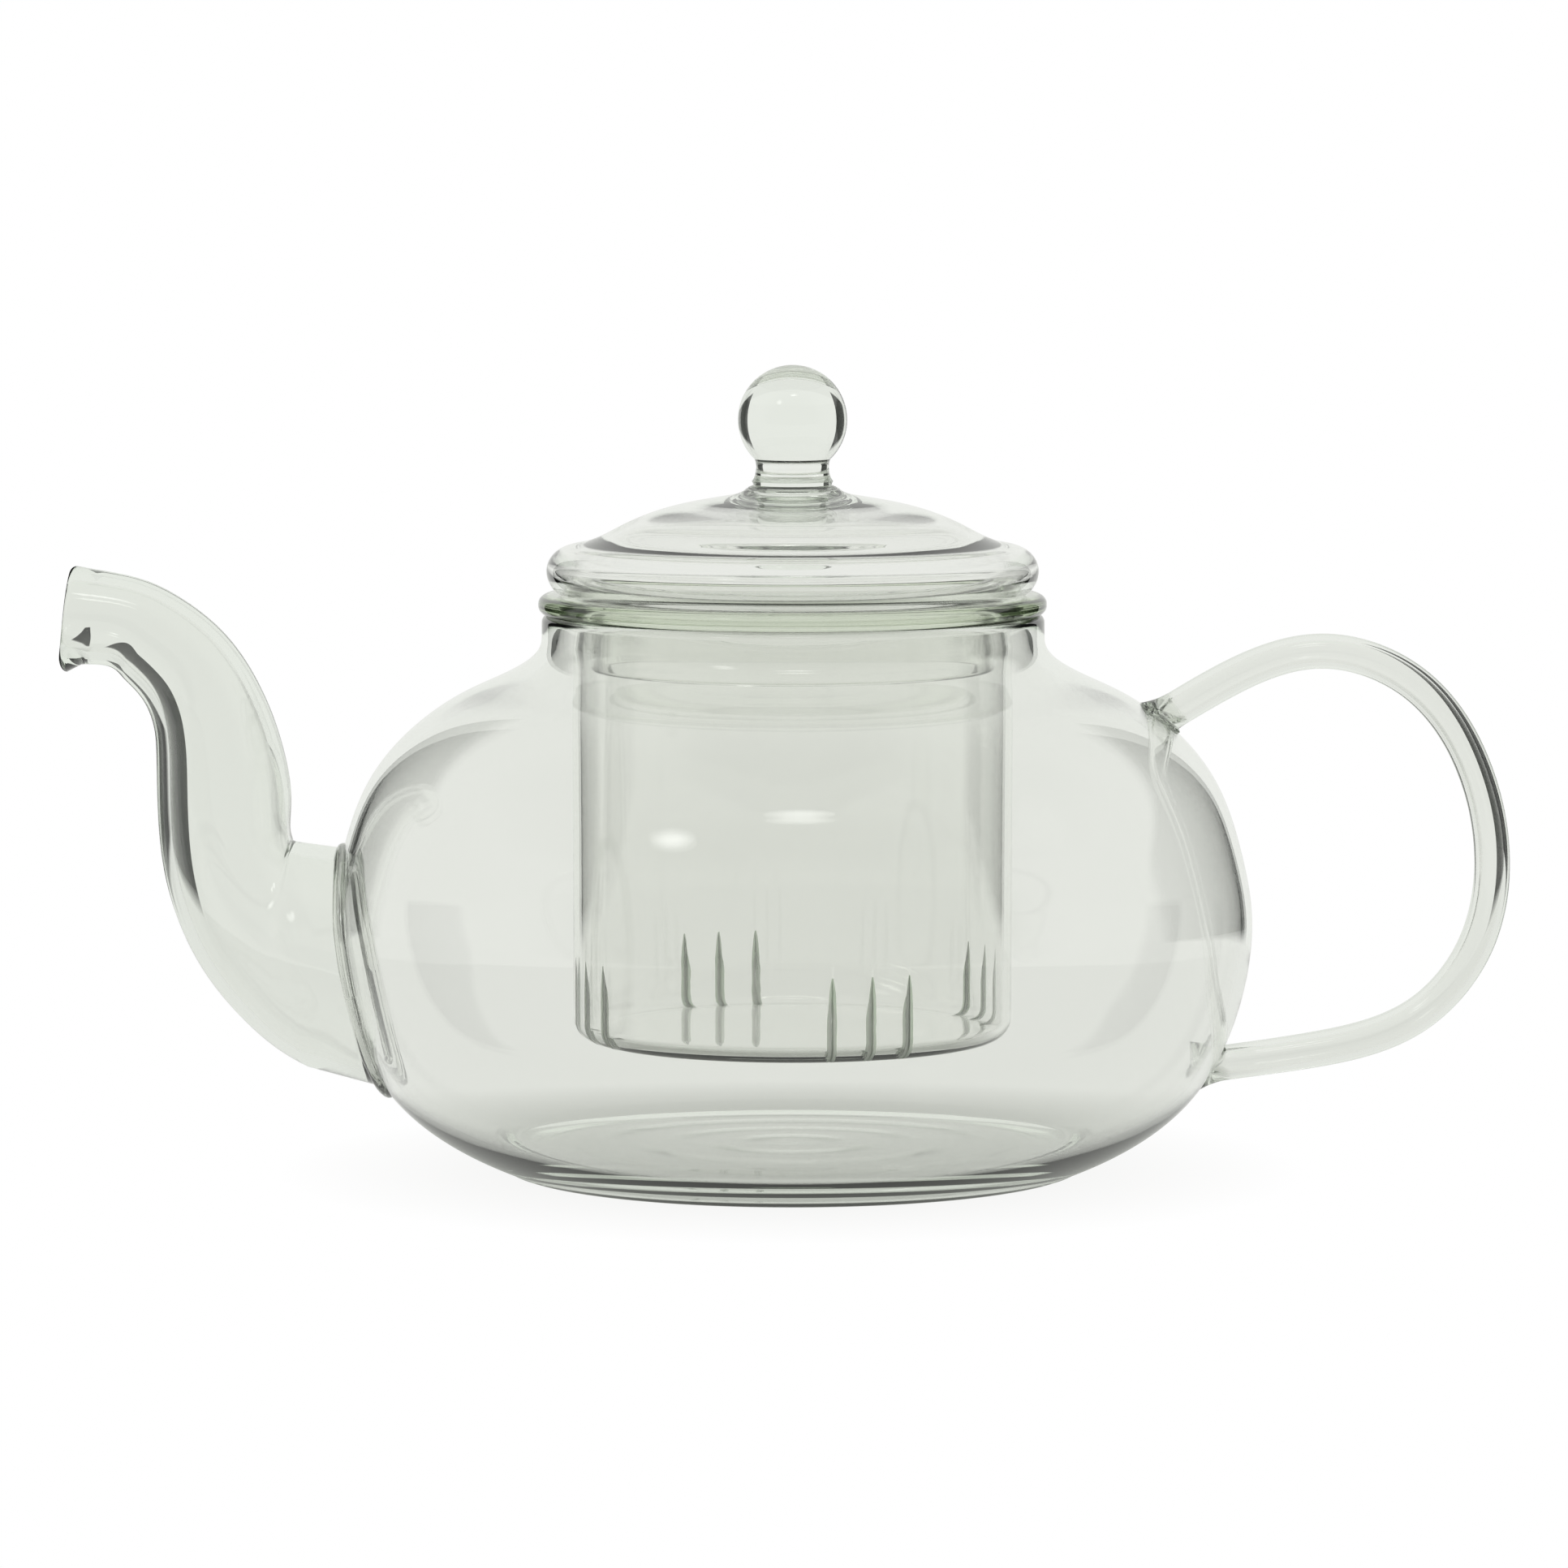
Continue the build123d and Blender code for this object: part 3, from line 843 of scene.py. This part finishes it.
# floor, light and camera, in metres
studio = {
    "backdrop": (0.86, 0.87, 0.84, 1),
    "front": (0.48, 0.49, 0.47, 1),  # the room on the camera's side
    "frontToBackdrop": (-0.8, -0.2),  # Y of the direction over which one turns into the other
    "open": (1.0, 1.0, 1.0, 1),  # what the camera itself sees
    "floorWidth": 4.0,
    "floorFromTo": (-1.0, 0.271),  # in Y
    "floorDrop": 0.0002,
    "floorShadowThroughGlass": (0.34, 0.355, 0.32, 1),  # paper as the glass shows it: a painted shadow under the pot, plain paper beyond
    "floorFar": (0.81, 0.82, 0.79, 1),
    "shadow": (0.90, 0.90, 0.89, 1),  # painted shadow on the paper as the camera sees it, under the pot
    "shadowFade": (0.035, 0.085),  # distance from the axis over which the painted shadow fades into plain paper
    # black cards that shape the glass: left and right end, and how far behind the pot
    "cards": {"left_card": (-0.36, -0.134, 0.168), "right_card": (0.147, 0.90, 0.170)},
    "cardFromTo": (0.012, 0.24),  # in Z
    "velvet": ((0.010, 0.011, 0.010, 1), (0.030, 0.032, 0.030, 1)),
    "cardFray": {"bottom": 0.04, "top": 0.15, "outer": 0.35},  # shares that fade out
    "aim": (0, 0, 0.06),
    "softboxes": {
        "key_softbox": {"azimuth": 2, "elevation": 58, "distance": 1.6,
                        "width": 0.40, "height": 0.17, "strength": 0.48},
        "left_softbox": {"azimuth": -36, "elevation": 40, "distance": 1.6,
                         "width": 0.30, "height": 0.28, "strength": 0.45},
    },
    "softboxSteps": (1.0, 0.72, 0.45),
    "softboxGap": 0.02,
}

cameraSetup = {
    "distance": 1.434,
    "height": 0.203,
    "aim": (-0.0014, 0.0638),  # in X and Z
    "lens": 200.35,
    "clipStart": 0.05,
}


def buildWorld():
    world = bpy.data.worlds.new("studio")
    bpy.context.scene.world = world
    world.use_nodes = True
    tree = world.node_tree
    path = tree.nodes.new("ShaderNodeLightPath")
    coord = tree.nodes.new("ShaderNodeTexCoord")
    split = tree.nodes.new("ShaderNodeSeparateXYZ")
    feed(tree, coord.outputs["Generated"], split.inputs[0])
    behind = mapRange(tree, split.outputs["Y"], *studio["frontToBackdrop"], "SMOOTHSTEP")
    room = colourMix(tree, behind, studio["front"], studio["backdrop"])
    seen = colourMix(tree, path.outputs["Is Camera Ray"], room, studio["open"])
    feed(tree, seen, tree.nodes["Background"].inputs["Color"])


def buildFloor():
    bpy.ops.mesh.primitive_grid_add(x_subdivisions=8, y_subdivisions=8, size=1)
    floor = bpy.context.object
    floor.name = "paper_floor"
    front, back = studio["floorFromTo"]
    floor.scale = (studio["floorWidth"], back - front, 1)
    floor.location = (0, (front + back) / 2, -studio["floorDrop"])
    material = bpy.data.materials.new("paper")
    material.use_nodes = True
    tree = material.node_tree
    tree.nodes.remove(tree.nodes["Principled BSDF"])
    place = tree.nodes.new("ShaderNodeNewGeometry")
    reach = tree.nodes.new("ShaderNodeVectorMath")
    reach.operation = "LENGTH"
    feed(tree, place.outputs["Position"], reach.inputs[0])
    # painted shadow under the pot: the paper is darker near the axis, much darker as the glass
    # shows it than as the camera sees it
    shadowFade = mapRange(tree, reach.outputs["Value"], *studio["shadowFade"])
    through = colourMix(tree, shadowFade, studio["floorShadowThroughGlass"], studio["floorFar"])
    direct = colourMix(tree, shadowFade, studio["shadow"], studio["open"])
    path = tree.nodes.new("ShaderNodeLightPath")
    glow = tree.nodes.new("ShaderNodeEmission")
    paper = colourMix(tree, path.outputs["Is Camera Ray"], through, direct)
    feed(tree, paper, glow.inputs["Color"])
    feed(tree, glow.outputs[0], tree.nodes["Material Output"].inputs["Surface"])
    floor.data.materials.append(material)


def velvetMaterial(name, outerIsLow):
    material = bpy.data.materials.new(name)
    material.use_nodes = True
    tree = material.node_tree
    coord = tree.nodes.new("ShaderNodeTexCoord")
    split = tree.nodes.new("ShaderNodeSeparateXYZ")
    feed(tree, coord.outputs["Generated"], split.inputs[0])
    shade = tree.nodes.new("ShaderNodeValToRGB")
    for element, colour in zip(shade.color_ramp.elements, studio["velvet"]):
        element.color = colour
    feed(tree, noiseNode(tree, coord.outputs["Generated"], 900.0, 2.0), shade.inputs["Fac"])
    velvet = tree.nodes["Principled BSDF"]
    feed(tree, shade.outputs["Color"], velvet.inputs["Base Color"])
    velvet.inputs["Roughness"].default_value = 0.9
    # frayed edges below, above and on the side away from the pot
    sideways, upward, fray = split.outputs["X"], split.outputs["Z"], studio["cardFray"]
    fromOuter = sideways if outerIsLow else mathNode(tree, "SUBTRACT", 1.0, sideways)
    cover = mathNode(tree, "MULTIPLY", mapRange(tree, upward, 0, fray["bottom"]),
                     mapRange(tree, mathNode(tree, "SUBTRACT", 1.0, upward), 0, fray["top"]))
    cover = mathNode(tree, "MULTIPLY", cover, mapRange(tree, fromOuter, 0, fray["outer"]))
    clear = tree.nodes.new("ShaderNodeBsdfTransparent")
    blend = tree.nodes.new("ShaderNodeMixShader")
    feed(tree, cover, blend.inputs["Fac"])
    feed(tree, clear.outputs[0], blend.inputs[1])
    feed(tree, velvet.outputs[0], blend.inputs[2])
    feed(tree, blend.outputs[0], tree.nodes["Material Output"].inputs["Surface"])
    return material


def buildCard(name, left, right, behind):
    # black velvet on a frame; only the glass sees it
    low, high = studio["cardFromTo"]
    mesh = bpy.data.meshes.new(name)
    corners = [(left, behind, low), (right, behind, low),
               (right, behind, high), (left, behind, high)]
    mesh.from_pydata(corners, [], [(0, 1, 2, 3)])
    card = bpy.data.objects.new(name, mesh)
    bpy.context.scene.collection.objects.link(card)
    card.visible_camera = False
    mesh.materials.append(velvetMaterial(name, left < 0))


def buildSoftbox(name, azimuth, elevation, distance, width, height, strength):
    # azimuth in degrees from the camera's side, positive towards +X; ellipses in a row, the
    # smallest in front, make a hot centre with a soft edge
    a, e = math.radians(azimuth), math.radians(elevation)
    heading = Vector((math.sin(a) * math.cos(e), -math.cos(a) * math.cos(e), math.sin(e)))
    steps = studio["softboxSteps"]
    for step, share in enumerate(steps):
        data = bpy.data.lights.new(f"{name}_{step}", "AREA")
        data.shape = "ELLIPSE"
        data.size, data.size_y = width * share, height * share
        data.energy = strength * share**2 / sum(s**2 for s in steps)
        light = bpy.data.objects.new(f"{name}_{step}", data)
        light.location = Vector(studio["aim"]) + (distance - studio["softboxGap"] * step) * heading
        light.rotation_euler = (-heading).to_track_quat("-Z", "Y").to_euler()
        bpy.context.scene.collection.objects.link(light)


def buildCamera():
    data = bpy.data.cameras.new("camera")
    data.lens = cameraSetup["lens"]
    data.clip_start = cameraSetup["clipStart"]
    camera = bpy.data.objects.new("camera", data)
    aimX, aimZ = cameraSetup["aim"]
    camera.location = (aimX, -cameraSetup["distance"], cameraSetup["height"])
    look = Vector((aimX, 0, aimZ)) - camera.location
    camera.rotation_euler = look.to_track_quat("-Z", "Y").to_euler()
    bpy.context.scene.collection.objects.link(camera)
    return camera


buildWorld()
buildFloor()
for cardName, cardPlace in studio["cards"].items():
    buildCard(cardName, *cardPlace)
for softboxName, softboxValues in studio["softboxes"].items():
    buildSoftbox(softboxName, **softboxValues)
scene = bpy.context.scene
scene.camera = buildCamera()
scene.view_settings.view_transform = "Standard"
scene.cycles.max_bounces = 32  # light crosses many walls of glass
scene.cycles.transmission_bounces = 32
scene.cycles.glossy_bounces = 12
scene.cycles.transparent_max_bounces = 16
print("studio built")
